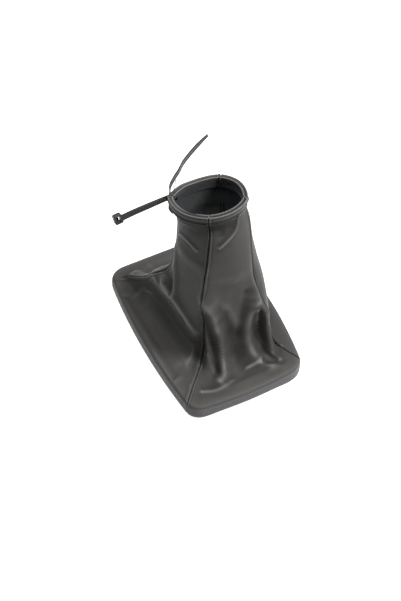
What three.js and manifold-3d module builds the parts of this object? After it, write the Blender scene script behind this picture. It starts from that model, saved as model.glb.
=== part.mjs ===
import * as THREE from 'three';
import Module from 'manifold-3d';
import { mergeVertices } from 'three/addons/utils/BufferGeometryUtils.js';

// Gear lever gaiter: four sewn leather panels wrapped on a moulded frame, with a cable tie
// in the hem of the collar. Millimetres, +Z up, the frame stands on z = 0.
// +Y runs along the frame to its rear short side, and -X is the side where the tie comes out.

// Leather and the gap that pieces keep where they touch
const leather = 1.1;
const touchGap = 0.3;

// Outline over the leather: a straight rear end, a front end and long sides that bow out.
// Where a value has two numbers, they are for the left and the right.
const baseLength = 165;
const baseWidth = 107;
const sideBow = [4, 5.6];
const frontBow = 2;
const cornerRadius = [14, 18];
const innerCornerRadius = 3;
const baseHeight = 14.1;
const edgeRounding = 3.4;
const bandWidth = 12;

// The short sides stand on their corners: the lower edge between them is raised
const footRecess = 1.5;
const footRamp = 10.5;
const footLevel = 1;

// Moulded frame inside the leather
const frameWall = 2.2;
const flangeThickness = 2.2;
const flangeWidth = 11;
const flangeEdgeRadius = 0.8;

// Leather turned up inside the wall
const turnedMargin = 6.5;
const turnedBend = 0.9;

// Snap hooks under the flange
const hookWidth = 9;
const hookArm = 1.6;
const hookLength = 7.2;
const hookBarb = 1.1;
const hookInset = 9.4;
const hooksPerLongSide = 3;
const hookPitch = 46;

// Seam: its edge dips, and the allowance is turned inside
const seamDip = 0.5;
const seamRoll = 0.2;
const allowanceWidth = 1.3;
const allowanceDepth = 2.6;

// Collar hem, a tunnel round the tie, closed by one row of stitches.
// Its inner leaf hangs slack beside the slot where the tie comes out.
const collarHeight = 170.2;
const hemHeight = 12.4;
const hemPlay = 0.6;
const stitchDrop = 10.8;
const hemGather = 0.4;
const leftSlot = 2.5;
const rearSlot = 6.5;
const leafSlack = 4;
const leafShare = 0.85;

// Cable tie: a strap with a rail along each edge and teeth between, and a head with a pawl
const tieWidth = 4.8;
const tieThickness = 1.3;
const railWidth = 0.9;
const toothPitch = 1.9;
const toothDepth = 0.35;
const toothCrest = 0.35;
const plainRun = 6;
const hiddenStep = 5;
const tipLength = 14;
const tipShare = 0.45;
const headLong = 7;
const headWide = 7.8;
const headDeep = 4.8;
const headProud = 0.4;
const headRounding = 1;
const headBevel = 0.4;
const apertureLong = 2.8;
const apertureWide = 5.4;
const pawlReach = 1.5;
const pawlThickness = 1;
const headSideDrop = 6.2;
const tailSideDrop = 4;

// The strap's two ends outside the hem, from the slot where they come out: [x, y, z, lean], with the lean
// of its face in degrees. The head's end starts at the head, the tail's end runs to the tip.
const headWay = [
  [-40.4, 0.6, -2, 22], [-30.4, 0.9, -1.1, 20], [-18.3, 1.3, -0.6, 16], [-7.4, 1.8, -0.4, 8], [1, 2, 0, 0],
];
const tailWay = [
  [1, 1.9, -1.3], [3, 6.2, -0.6], [9.2, 12, 0.2], [16.2, 17.4, 0.6], [22.8, 23.3, 1],
  [30.8, 28.6, 1.4], [38.8, 33.2, 1.8], [46.6, 37.2, 2.2], [52.4, 39.9, 2.5],
];
const hiddenMargin = 6;

// Spacing of the facets: along a long side and a short one, round a corner, along a row of each panel
// and round the hem
const sideSteps = 10;
const endSteps = 4;
const cornerSteps = 6;
const columnsOf = [14, 22, 14, 18];
const crowdingOf = [0, 0.62, 0.66, 0.62];
const climbStations = [1, 2, 3, 4, 4.5, 5, 5.5, 6, 6.5, 7, 8, 9, 10];
const rowSteps = 32;
const hemTurns = 24;

// Colours of the finished surfaces
const leatherBlack = new THREE.MeshStandardMaterial({ color: 0x2b2a29, roughness: 0.55, metalness: 0 });
const frameBlack = new THREE.MeshStandardMaterial({ color: 0x1c1c1c, roughness: 0.6, metalness: 0 });
const nylonBlack = new THREE.MeshStandardMaterial({ color: 0x262624, roughness: 0.45, metalness: 0 });

const lerp = THREE.MathUtils.lerp;
const vec = (x, y, z) => new THREE.Vector3(x, y, z);

// The four panels in turn from the rear left seam: left, front, right, rear.
// A seam lies round the corner from the end of its long side, by seamWrap over the wall
// and by seamWrapInside where the band ends, or back along the side where that is negative.
const seamWrap = [6, 4, 9.8, 9.3];
const seamWrapInside = [1, -7.5, -6.5, 3.5];

// Half sizes and corner radius of the outline, set in by inset, on its left, -1, or its right, 1
function outlineSizes(inset, side) {
  const hand = side < 0 ? 0 : 1;
  const halfLength = baseLength / 2 - inset;
  const halfWidth = baseWidth / 2 - inset;
  const radius = Math.max(cornerRadius[hand] - inset, innerCornerRadius);
  return { halfLength, halfWidth, radius, hand, tangent: halfLength - radius, straight: halfWidth - radius };
}

function longSideX(inset, side, y) {
  const { halfWidth, tangent, hand } = outlineSizes(inset, side);
  return side * (halfWidth + sideBow[hand] * (1 - (y / tangent) ** 2));
}

// Only the front end, -1, bows out
function shortSideY(inset, end, x) {
  const [left, right] = [-1, 1].map((side) => side * outlineSizes(inset, side).straight);
  const share = (2 * x - left - right) / (right - left);
  return end * (baseLength / 2 - inset + (end < 0 ? frontBow * (1 - share ** 2) : 0));
}

// Closed outline, anticlockwise from above, from the rear end of the left side.
// Lists the points, and where each long side starts and ends.
function outlineLoop(inset) {
  const points = [];
  const addLongSide = (side) => {
    for (let i = 0; i < sideSteps; i += 1) {
      const y = side * outlineSizes(inset, side).tangent * (-1 + (2 * i) / sideSteps);
      points.push(vec(longSideX(inset, side, y), y, 0));
    }
  };
  const addCorner = (side, end, from) => {
    const { straight, tangent, radius } = outlineSizes(inset, side);
    for (let i = 0; i <= cornerSteps; i += 1) {
      const angle = from + (i / cornerSteps) * (Math.PI / 2);
      const x = side * straight + radius * Math.cos(angle);
      points.push(vec(x, end * tangent + radius * Math.sin(angle), 0));
    }
  };
  const addShortSide = (end) => {
    const [left, right] = [-1, 1].map((side) => side * (outlineSizes(inset, side).straight - footLevel));
    const places = [left, right];
    for (let i = 0; i <= endSteps; i += 1) {
      places.splice(-1, 0, lerp(left + footRamp, right - footRamp, i / endSteps));
    }
    if (end > 0) places.reverse();
    for (const x of places) points.push(vec(x, shortSideY(inset, end, x), 0));
  };
  const marks = [0];
  addLongSide(-1);
  marks.push(points.length);
  addCorner(-1, -1, Math.PI);
  addShortSide(-1);
  addCorner(1, -1, 1.5 * Math.PI);
  marks.push(points.length - 1);
  points.pop();
  addLongSide(1);
  marks.push(points.length);
  addCorner(1, 1, 0);
  addShortSide(1);
  addCorner(-1, 1, 0.5 * Math.PI);
  points.pop();
  return { points, marks };
}

// A run of points with its length, so that a place on it is found by distance
function measuredRun(points) {
  const along = [0];
  for (let i = 1; i < points.length; i += 1) along.push(along[i - 1] + points[i].distanceTo(points[i - 1]));
  return { points, along, length: along[along.length - 1] };
}

function pointAt(run, distance) {
  let i = 1;
  while (i < run.along.length - 1 && run.along[i] < distance) i += 1;
  const share = (distance - run.along[i - 1]) / (run.along[i] - run.along[i - 1]);
  return run.points[i - 1].clone().lerp(run.points[i], share);
}

// One panel's share of the outline, from seam to seam
function outlineRun(panel, inset) {
  const { points, marks } = outlineLoop(inset);
  const twice = measuredRun([...points, ...points, points[0]]);
  const around = twice.length / 2;
  const inside = Math.min(inset / bandWidth, 1);
  const seamPlace = (seam) => {
    const onto = lerp(seamWrap[seam], seamWrapInside[seam], inside);
    const mark = twice.along[marks[seam % 4]];
    return mark + (seam % 2 ? onto : -onto);
  };
  const next = (panel + 1) % 4;
  const start = (seamPlace(panel) + around) % around;
  let end = (seamPlace(next) + around) % around;
  if (end < start) end += around;
  const clear = 0.01;
  const inReach = (distance) => distance > start + clear && distance < end - clear;
  const between = twice.points.filter((_, i) => inReach(twice.along[i]));
  return [pointAt(twice, start), ...between, pointAt(twice, end)];
}

// Closed rings through the four seams and a point between each two, from the rear left seam,
// as [x, y, how far under the top of the collar]. The rim leans: its front stands higher than its rear.
const rimPoints = [
  [-23.3, 14.6, 3.7], [-23.5, -5.5, 2.2], [-8.5, -22, 0.2], [10.5, -24.5, 0],
  [26.2, -15.5, 2.2], [30, 3, 5], [21.4, 17, 7.4], [1, 21.6, 8],
];
const neckPoints = [
  [-17.5, 12.5, 33.2], [-19.5, -6, 30.2], [-7.5, -22, 27.2], [10.5, -26, 27.2],
  [28.8, -18.8, 30.2], [34.5, -2, 33.2], [21.5, 12, 35.2], [1.8, 17.5, 35.2],
];
function ringOf(list) {
  const points = list.map(([x, y, drop]) => vec(x, y, collarHeight - drop));
  return new THREE.CatmullRomCurve3(points, true, 'centripetal');
}
const rim = ringOf(rimPoints);
const neck = ringOf(neckPoints);

// How each seam and each panel's middle climbs from the band to the neck:
// share of the way in x, share of the way in y, share of the rise
const seamWays = [
  [[0, 0, 0], [0.03, 0.025, 0.015], [0.08, 0.09, 0.045], [0.2, 0.25, 0.11], [0.3, 0.39, 0.17],
    [0.38, 0.51, 0.23], [0.51, 0.7, 0.34], [0.66, 0.9, 0.48],
    [0.92, 0.955, 0.62], [1, 0.99, 0.8], [1, 1, 1]],
  [[0, 0, 0], [0.13, 0.12, 0], [0.37, 0.36, 0], [0.6, 0.58, 0.01], [0.69, 0.64, 0.1],
    [0.67, 0.65, 0.22], [0.66, 0.66, 0.35], [0.67, 0.73, 0.5],
    [0.76, 0.83, 0.66], [0.9, 0.92, 0.82], [1, 1, 1]],
  [[0, 0, 0], [0.05, 0.08, 0], [0.26, 0.28, -0.01], [0.41, 0.41, 0.08], [0.44, 0.45, 0.165],
    [0.44, 0.45, 0.26], [0.59, 0.6, 0.325], [0.75, 0.76, 0.4],
    [0.86, 0.855, 0.52], [0.92, 0.92, 0.74], [1, 1, 1]],
  [[0, 0, 0], [0.04, 0.025, 0.01], [0.1, 0.1, 0.04], [0.22, 0.25, 0.09], [0.34, 0.4, 0.15],
    [0.45, 0.54, 0.22], [0.58, 0.7, 0.33], [0.72, 0.84, 0.47],
    [0.85, 0.93, 0.62], [0.94, 0.97, 0.8], [1, 1, 1]],
];
const middleWays = [
  [[0, 0, 0], [0.1, 0, -0.015], [0.28, 0.1, -0.03], [0.46, 0.2, -0.015], [0.58, 0.3, 0.05],
    [0.64, 0.4, 0.14], [0.64, 0.5, 0.285], [0.74, 0.65, 0.41],
    [0.86, 0.8, 0.555], [0.96, 0.92, 0.75], [1, 1, 1]],
  [[0, 0, 0], [0, 0.06, -0.012], [0.1, 0.19, -0.024], [0.2, 0.375, -0.016], [0.37, 0.56, 0.024],
    [0.47, 0.68, 0.11], [0.56, 0.75, 0.25], [0.75, 0.82, 0.415],
    [0.93, 0.89, 0.59], [1, 0.955, 0.78], [1, 1, 1]],
  [[0, 0, 0], [0.05, 0, 0], [0.1, 0.05, 0], [0.06, 0.2, 0.03], [0, 0.4, 0.09],
    [-0.1, 0.55, 0.18], [-0.06, 0.65, 0.3], [0.08, 0.8, 0.44], [0.42, 0.9, 0.6], [0.76, 1, 0.79], [1, 1, 1]],
  [[0, 0, 0], [0, 0.066, -0.01], [0, 0.2, 0], [0, 0.39, 0.05], [0, 0.54, 0.12],
    [0.2, 0.65, 0.2], [0.4, 0.73, 0.32], [0.5, 0.8, 0.44], [0.7, 0.87, 0.6], [0.9, 0.935, 0.78], [1, 1, 1]],
];
const lastStation = seamWays[0].length - 1;

// Where a panel stands out most between its seams: 1 in the middle, less nearer its first seam
const fullnessOf = [1, 1, 0.6, 1];

function wayAt(ways, station) {
  const curve = new THREE.CatmullRomCurve3(ways.map((way) => vec(...way)));
  return curve.getPoint(station / lastStation);
}

// A panel's row between the band, station 0, and the neck, the last station
function climbingRun(panel, station) {
  const base = measuredRun(outlineRun(panel, bandWidth));
  const from = wayAt(seamWays[panel], station);
  const to = wayAt(seamWays[(panel + 1) % 4], station);
  const middle = wayAt(middleWays[panel], station);
  const points = [];
  for (let i = 0; i <= rowSteps; i += 1) {
    const u = i / rowSteps;
    const weight = Math.sin(Math.PI * u ** fullnessOf[panel]);
    const way = from.clone().lerp(to, u).lerp(middle, weight);
    const foot = pointAt(base, u * base.length);
    const top = neck.getPoint((panel + u) / 4);
    const height = lerp(baseHeight, top.z, way.z);
    points.push(vec(lerp(foot.x, top.x, way.x), lerp(foot.y, top.y, way.y), height));
  }
  return points;
}

// Folds of the sleeve: the panel they lie on, the height at the crest, less than nothing in
// a valley, the reach to each side, and the path as [share across the panel, station]
const folds = [
  [1, 3.6, 4.5, [[0.05, 7], [0.15, 6.9], [0.24, 6.3], [0.29, 5.5], [0.31, 4.4], [0.33, 3], [0.27, 1.6]]],
  [1, -3, 4.5, [[0.05, 6.3], [0.14, 5.8], [0.2, 4.8], [0.23, 3.8], [0.25, 2.7]]],
  [1, 1.8, 6, [[0.25, 7.3], [0.45, 6.8], [0.52, 6.3], [0.55, 5.7]]],
  [1, -1.8, 5, [[0.42, 5.6], [0.43, 4.2], [0.44, 3]]],
  [1, -2.6, 5, [[0.78, 6.8], [0.65, 6.2], [0.54, 5.2]]],
  [1, 3, 6.5, [[0.88, 6.8], [0.76, 6.2], [0.6, 5], [0.6, 3.7], [0.61, 2.7]]],
  [1, -5, 5.5, [[0.85, 5.8], [0.8, 5.3], [0.78, 4], [0.785, 3.2]]],
  [1, -1.8, 5, [[0.79, 2.2], [0.81, 1.2]]],
  [1, 3.4, 4.5, [[0.93, 5.8], [0.9, 4.7], [0.88, 3.7], [0.89, 2.8]]],
  [0, 3.2, 6, [[0.07, 5.5], [0.19, 5.7], [0.38, 6.2], [0.55, 6], [0.73, 5.7], [0.86, 5.2]]],
  [0, 1.8, 4.5, [[0.2, 8.6], [0.24, 8], [0.33, 7], [0.38, 6.3]]],
  [0, 1.5, 7, [[0.22, 9.2], [0.38, 9], [0.56, 8.8], [0.83, 8.7]]],
  [0, -3, 5, [[0.13, 7.2], [0.3, 6.6]]],
  [3, 3.5, 5, [[0.9, 1.5], [0.9, 3], [0.92, 5], [0.93, 6.5]]],
].map(([panel, height, reach, path]) => ({ panel, height, reach, path }));

function foldPath({ panel, path }) {
  return path.map(([share, station]) => {
    const run = measuredRun(climbingRun(panel, station));
    return pointAt(run, share * run.length);
  });
}

// How far the folds lift a point of the leather
function foldLift(point, paths) {
  const nearest = vec(0, 0, 0);
  return folds.reduce((lift, { height, reach }, i) => {
    let distance = Infinity;
    for (let k = 1; k < paths[i].length; k += 1) {
      new THREE.Line3(paths[i][k - 1], paths[i][k]).closestPointToPoint(point, true, nearest);
      distance = Math.min(distance, nearest.distanceTo(point));
    }
    return lift + height * Math.exp(-((distance / reach) ** 2));
  }, 0);
}

// A panel's row on the hem: out is how far it stands outside the rim's middle line,
// down how far below the top. On the inner leaf the left panel hangs slack by its share.
function hemRun(panel, out, down, slackShare) {
  const points = [];
  for (let i = 0; i <= rowSteps; i += 1) {
    const t = (panel + i / rowSteps) / 4;
    const tangent = rim.getTangent(t % 1);
    const outward = vec(tangent.y, -tangent.x, 0).normalize();
    const hang = panel === 0 ? Math.sin(Math.PI * Math.min(i / rowSteps / leafShare, 1)) : 0;
    const point = rim.getPoint(t % 1).addScaledVector(outward, out - leafSlack * slackShare * hang);
    points.push(vec(point.x, point.y, point.z - down));
  }
  return points;
}

// How far the lower edge of a short side is raised at x
function footLift(x) {
  const foot = outlineSizes(0, x).straight - footLevel;
  return footRecess * THREE.MathUtils.clamp((foot - Math.abs(x)) / footRamp, 0, 1);
}

// Rows of a panel on the frame, as [inset, z] of its outer face and of its inner face.
// The first five follow the foot, which is raised between the corners of a short side.
const innerFace = leather + touchGap + frameWall + touchGap;
const roundShare = 1 - Math.SQRT1_2;
const insideRounding = edgeRounding - leather;
const creaseSize = 0.25;
const frameRows = [
  { outer: [innerFace + leather, turnedMargin], inner: [innerFace, turnedMargin], lifted: true },
  { outer: [innerFace + leather, turnedBend], inner: [innerFace, leather + creaseSize], lifted: true },
  { outer: [innerFace + leather - turnedBend, 0], inner: [innerFace - creaseSize, leather], lifted: true },
  { outer: [turnedBend, 0], inner: [leather + creaseSize, leather], lifted: true },
  { outer: [0, turnedBend], inner: [leather, leather + creaseSize], lifted: true },
  { outer: [0, baseHeight - edgeRounding], inner: [leather, baseHeight - edgeRounding] },
  {
    outer: [edgeRounding * roundShare, baseHeight - edgeRounding * roundShare],
    inner: [leather + insideRounding * roundShare, baseHeight - leather - insideRounding * roundShare],
  },
  { outer: [edgeRounding, baseHeight], inner: [edgeRounding, baseHeight - leather] },
  { outer: [bandWidth, baseHeight], inner: [bandWidth, baseHeight - leather] },
];

// Rows of the hem, as [out, down] of the outer and the inner face, up the outside and down the inside
const tunnelHalf = tieThickness / 2 + hemPlay;
const hemHalf = tunnelHalf + leather;
const shoulder = { out: 0.72, down: 0.7 };
const hemMouth = stitchDrop - hemHalf;
const tongueEnd = hemHeight - hemGather;
const hemRow = (outerOut, innerOut, down) => ({ outer: [outerOut, down], inner: [innerOut, down] });
const hemRows = [
  hemRow(leather / 2, -leather / 2, hemHeight + hemGather),
  hemRow(leather, 0, stitchDrop),
  hemRow(hemHalf - hemGather / 2, tunnelHalf - hemGather / 2, hemMouth),
  hemRow(hemHalf, tunnelHalf, hemHalf),
  {
    outer: [hemHalf * shoulder.out, shoulder.down],
    inner: [tunnelHalf * shoulder.out, leather + shoulder.down / 2],
  },
  { outer: [0, 0], inner: [0, leather] },
  {
    outer: [-hemHalf * shoulder.out, shoulder.down],
    inner: [-tunnelHalf * shoulder.out, leather + shoulder.down / 2],
    slack: 0.5,
  },
  { ...hemRow(-hemHalf, -tunnelHalf, hemHalf), slack: 1 },
  { ...hemRow(-hemHalf, -tunnelHalf, hemMouth), slack: 1 },
  { ...hemRow(hemGather - hemHalf, hemGather - tunnelHalf, tongueEnd), slack: 0.7 },
];

// Columns of a row: two close to each seam, the rest closer together towards the corners.
// slant widens the seam's own columns where the row crosses the seam at a slant.
function columnPlaces(length, panel, gaps, slants) {
  const step = 0.5;
  const own = [0, allowanceWidth, allowanceWidth + step];
  const first = own.map((mm) => gaps[0] + (touchGap / 2 + mm) * slants[0]);
  const last = own.map((mm) => length - gaps[1] - (touchGap / 2 + mm) * slants[1]).reverse();
  const places = [...first];
  for (let i = 1; i < columnsOf[panel]; i += 1) {
    const even = i / columnsOf[panel];
    const share = even - (crowdingOf[panel] * Math.sin(2 * Math.PI * even)) / (2 * Math.PI);
    places.push(lerp(first[2], last[0], share));
  }
  return [...places, ...last];
}

// The hem's ends stand apart at the rear left seam, where the tie comes out
function slotGaps(panel, share) {
  return [panel === 0 ? leftSlot * share : 0, panel === 3 ? rearSlot * share : 0];
}

// How much longer a distance square to the seam is along the row, at the row's first and last point
function seamSlants(rows, r) {
  const ends = [(run) => [run[0], run[1]], (run) => [run[run.length - 1], run[run.length - 2]]];
  return ends.map((end) => {
    const [here, next] = end(rows[r].outerRun);
    const [above] = end(rows[Math.min(r + 1, rows.length - 1)].outerRun);
    const [below] = end(rows[Math.max(r - 1, 0)].outerRun);
    const sine = next.clone().sub(here).normalize().cross(above.clone().sub(below).normalize()).length();
    return 1 / Math.max(sine, 0.35);
  });
}

function panelGrids(panel) {
  const raised = (run, z, lifted) => run.map((p) => vec(p.x, p.y, z + (lifted ? footLift(p.x) : 0)));
  const rows = frameRows.map(({ outer, inner, lifted }) => ({
    outerRun: raised(outlineRun(panel, outer[0]), outer[1], lifted),
    innerRun: raised(outlineRun(panel, inner[0]), inner[1], lifted),
    slot: 0,
  }));
  for (const station of climbStations) {
    rows.push({ outerRun: climbingRun(panel, station), innerRun: null, slot: 0, station });
  }
  hemRows.forEach(({ outer, inner, slack = 0 }, i) => {
    const slot = Math.min(i / 2, 1);
    rows.push({ outerRun: hemRun(panel, ...outer, slack), innerRun: hemRun(panel, ...inner, slack), slot });
  });
  const place = (points, slot, slants) => {
    const run = measuredRun(points);
    return columnPlaces(run.length, panel, slotGaps(panel, slot), slants).map((mm) => pointAt(run, mm));
  };
  const grids = rows.map(({ outerRun, innerRun, slot }, r) => {
    const slants = innerRun ? [1, 1] : seamSlants(rows, r);
    return { outer: place(outerRun, slot, slants), inner: innerRun && place(innerRun, slot, slants) };
  });
  return {
    outer: grids.map((grid) => grid.outer),
    inner: grids.map((grid) => grid.inner),
    stations: rows.map((row) => row.station),
  };
}

// Outward normal of a grid of points at one place
function gridNormal(grid, row, column) {
  const rows = grid.length - 1;
  const columns = grid[0].length - 1;
  const left = grid[row][Math.max(column - 1, 0)];
  const right = grid[row][Math.min(column + 1, columns)];
  const below = grid[Math.max(row - 1, 0)][column];
  const above = grid[Math.min(row + 1, rows)][column];
  return right.clone().sub(left).cross(above.clone().sub(below)).normalize();
}

// Closed shell between an outer and an inner grid with the same rows and columns
function shellGeometry(outer, inner) {
  const rows = outer.length;
  const columns = outer[0].length;
  const positions = [];
  for (const grid of [outer, inner]) {
    for (const row of grid) {
      for (const p of row) positions.push(p.x, p.y, p.z);
    }
  }
  const at = (side, row, column) => side * rows * columns + row * columns + column;
  const index = [];
  const quad = (a, b, c, d) => index.push(a, b, c, a, c, d);
  for (let r = 0; r < rows - 1; r += 1) {
    for (let c = 0; c < columns - 1; c += 1) {
      quad(at(0, r, c), at(0, r, c + 1), at(0, r + 1, c + 1), at(0, r + 1, c));
      quad(at(1, r, c), at(1, r + 1, c), at(1, r + 1, c + 1), at(1, r, c + 1));
    }
  }
  for (let c = 0; c < columns - 1; c += 1) {
    quad(at(0, 0, c), at(1, 0, c), at(1, 0, c + 1), at(0, 0, c + 1));
    quad(at(0, rows - 1, c), at(0, rows - 1, c + 1), at(1, rows - 1, c + 1), at(1, rows - 1, c));
  }
  for (let r = 0; r < rows - 1; r += 1) {
    quad(at(0, r, 0), at(0, r + 1, 0), at(1, r + 1, 0), at(1, r, 0));
    quad(at(0, r, columns - 1), at(1, r, columns - 1), at(1, r + 1, columns - 1), at(0, r + 1, columns - 1));
  }
  const geometry = new THREE.BufferGeometry();
  geometry.setAttribute('position', new THREE.Float32BufferAttribute(positions, 3));
  geometry.setIndex(index);
  geometry.computeVertexNormals();
  return geometry;
}

// Depth of the seam allowance along the climb: none near the band and at the hem
function allowanceAt(station) {
  return station < 3 || station === lastStation ? 0 : allowanceDepth;
}

function leatherPanels() {
  const grids = [0, 1, 2, 3].map(panelGrids);
  const normals = grids.map(({ outer }) => outer.map((row, r) => row.map((_, c) => gridNormal(outer, r, c))));
  const rows = grids[0].outer.length;
  for (let r = 0; r < rows; r += 1) {
    for (let seam = 0; seam < 4; seam += 1) {
      const before = normals[(seam + 3) % 4][r];
      const after = normals[seam][r];
      const shared = before[before.length - 2].clone().add(after[1]).normalize();
      for (const c of [0, 1]) {
        after[c].copy(shared);
        before[before.length - 1 - c].copy(shared);
      }
    }
  }
  const paths = folds.map(foldPath);
  return grids.map(({ outer, inner, stations }, panel) => {
    const last = outer[0].length - 1;
    outer.forEach((row, r) => {
      if (!stations[r]) return;
      const lifts = row.map((p) => foldLift(p, paths));
      inner[r] = row.map((p, c) => p.clone().addScaledVector(normals[panel][r][c], lifts[c] - leather));
      row.forEach((p, c) => p.addScaledVector(normals[panel][r][c], lifts[c]));
      for (const c of [0, 1, last - 1, last]) {
        const edge = c === 0 || c === last;
        inner[r][c].addScaledVector(normals[panel][r][c], -allowanceAt(stations[r]));
        row[c].addScaledVector(normals[panel][r][c], edge ? -seamDip : seamRoll);
      }
    });
    return shellGeometry(outer, inner);
  });
}

const wasm = await Module();
wasm.setup();

// Turns a closed mesh into a solid that can be joined and cut, and back
function toSolid(source) {
  const bare = source.clone();
  for (const name of Object.keys(bare.attributes)) if (name !== 'position') bare.deleteAttribute(name);
  const merged = mergeVertices(bare, 1e-5);
  const vertProperties = new Float32Array(merged.attributes.position.array);
  const triVerts = new Uint32Array(merged.index.array);
  return new wasm.Manifold(new wasm.Mesh({ numProp: 3, vertProperties, triVerts }));
}

function toGeometry(solid) {
  const mesh = solid.getMesh();
  const geometry = new THREE.BufferGeometry();
  geometry.setAttribute('position', new THREE.Float32BufferAttribute(Array.from(mesh.vertProperties), 3));
  geometry.setIndex(Array.from(mesh.triVerts));
  geometry.computeVertexNormals();
  return geometry;
}

// Ring swept round the outline from a closed profile of [inset, z, follows the foot]
function ringGeometry(profile) {
  const loops = profile.map(([inset, z, lifted]) =>
    outlineLoop(inset).points.map((p) => vec(p.x, p.y, z + (lifted ? footLift(p.x) : 0))));
  const around = loops[0].length;
  const positions = [];
  const index = [];
  for (const loop of loops) for (const p of loop) positions.push(p.x, p.y, p.z);
  for (let r = 0; r < loops.length; r += 1) {
    const next = (r + 1) % loops.length;
    for (let c = 0; c < around; c += 1) {
      const d = (c + 1) % around;
      index.push(r * around + c, r * around + d, next * around + d);
      index.push(r * around + c, next * around + d, next * around + c);
    }
  }
  const geometry = new THREE.BufferGeometry();
  geometry.setAttribute('position', new THREE.Float32BufferAttribute(positions, 3));
  geometry.setIndex(index);
  return geometry;
}

// Snap hook hanging from the flange, its barb outwards along -X
function hookGeometry(flangeUnderside) {
  const top = flangeUnderside + flangeThickness / 2;
  const bottom = flangeUnderside - hookLength;
  const side = new THREE.Shape();
  side.moveTo(0, top);
  side.lineTo(0, bottom + 2 * hookBarb);
  side.lineTo(-hookBarb, bottom + 1.4 * hookBarb);
  side.lineTo(-hookBarb / 3, bottom);
  side.lineTo(hookArm, bottom);
  side.lineTo(hookArm, top);
  side.closePath();
  const geometry = new THREE.ExtrudeGeometry(side, { depth: hookWidth, bevelEnabled: false });
  geometry.translate(0, 0, -hookWidth / 2);
  geometry.rotateX(Math.PI / 2);
  return geometry;
}

function mouldedFrame() {
  const skin = leather + touchGap;
  const top = baseHeight - skin;
  const outerRound = edgeRounding - skin;
  const underside = top - flangeThickness;
  const flangeEnd = skin + flangeWidth;
  const profile = [
    [skin, skin, true],
    [skin, top - outerRound, false],
    [skin + outerRound * roundShare, top - outerRound * roundShare, false],
    [skin + outerRound, top, false],
    [flangeEnd - flangeEdgeRadius, top, false],
    [flangeEnd, top - flangeEdgeRadius, false],
    [flangeEnd, underside, false],
    [skin + frameWall, underside, false],
    [skin + frameWall, skin, true],
  ];
  let solid = toSolid(ringGeometry(profile));
  const places = [];
  for (let i = 0; i < hooksPerLongSide; i += 1) {
    const y = (i - (hooksPerLongSide - 1) / 2) * hookPitch;
    places.push([longSideX(hookInset, -1, y), y, 0], [longSideX(hookInset, 1, y), y, Math.PI]);
  }
  for (const x of [-hookPitch / 2, hookPitch / 2]) {
    for (const end of [-1, 1]) places.push([x, shortSideY(hookInset, end, x), (-end * Math.PI) / 2]);
  }
  for (const [x, y, turn] of places) {
    const hook = hookGeometry(underside);
    hook.rotateZ(turn);
    hook.translate(x, y, 0);
    solid = solid.add(toSolid(hook));
  }
  return toGeometry(solid);
}

// Route of the tie: from the head, into the rear hem, once round the collar inside the hem
// and out over its own first run to the tip
const wrapShares = [0.045, 0.985];
const climbShare = 0.62;
function tieRoute() {
  const exit = rim.getPoint(0);
  const route = headWay.map(([x, y, z, lean]) => [exit.x + x, exit.y + y, exit.z - headSideDrop + z, lean]);
  for (let i = 0; i <= hemTurns; i += 1) {
    const share = i / hemTurns;
    const point = rim.getPoint(1 - lerp(...wrapShares, share));
    const drop = lerp(headSideDrop, tailSideDrop, Math.min(share / climbShare, 1));
    route.push([point.x, point.y, point.z - drop, 0]);
  }
  tailWay.forEach(([x, y, z]) => route.push([exit.x + x, exit.y + y, exit.z + z, 0]));
  return route;
}

// Length of a list of [x, y, z] points
function wayLength(way) {
  return measuredRun(way.map(([x, y, z]) => vec(x, y, z))).length;
}

// Places of the cross sections along the strap: root and crest of each tooth where it shows,
// wide steps where it is plain or hidden in the hem
function tieStations(length, hiddenFrom, hiddenTo) {
  const list = [];
  let at = 0;
  while (at < length) {
    const plain = at < plainRun || at > length - plainRun;
    const hidden = at > hiddenFrom && at < hiddenTo;
    if (plain || hidden) {
      list.push([at, toothDepth]);
      at += hidden ? hiddenStep : plainRun / 3;
    } else {
      list.push([at, toothDepth], [at + toothPitch * (1 - toothCrest), 0]);
      at += toothPitch;
    }
  }
  list.push([length, toothDepth]);
  return list;
}

function tieFrameAt(curve, leans, share) {
  const centre = curve.getPointAt(share);
  const forward = curve.getTangentAt(share);
  const t = curve.getUtoTmapping(share) * (leans.length - 1);
  const i = Math.min(Math.floor(t), leans.length - 2);
  const lean = THREE.MathUtils.degToRad(lerp(leans[i], leans[i + 1], t - i));
  const toothed = forward.clone().cross(vec(0, 0, 1)).normalize();
  const wide = toothed.clone().cross(forward).normalize();
  toothed.applyAxisAngle(forward, -lean);
  wide.applyAxisAngle(forward, -lean);
  return { centre, forward, toothed, wide };
}

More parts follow.
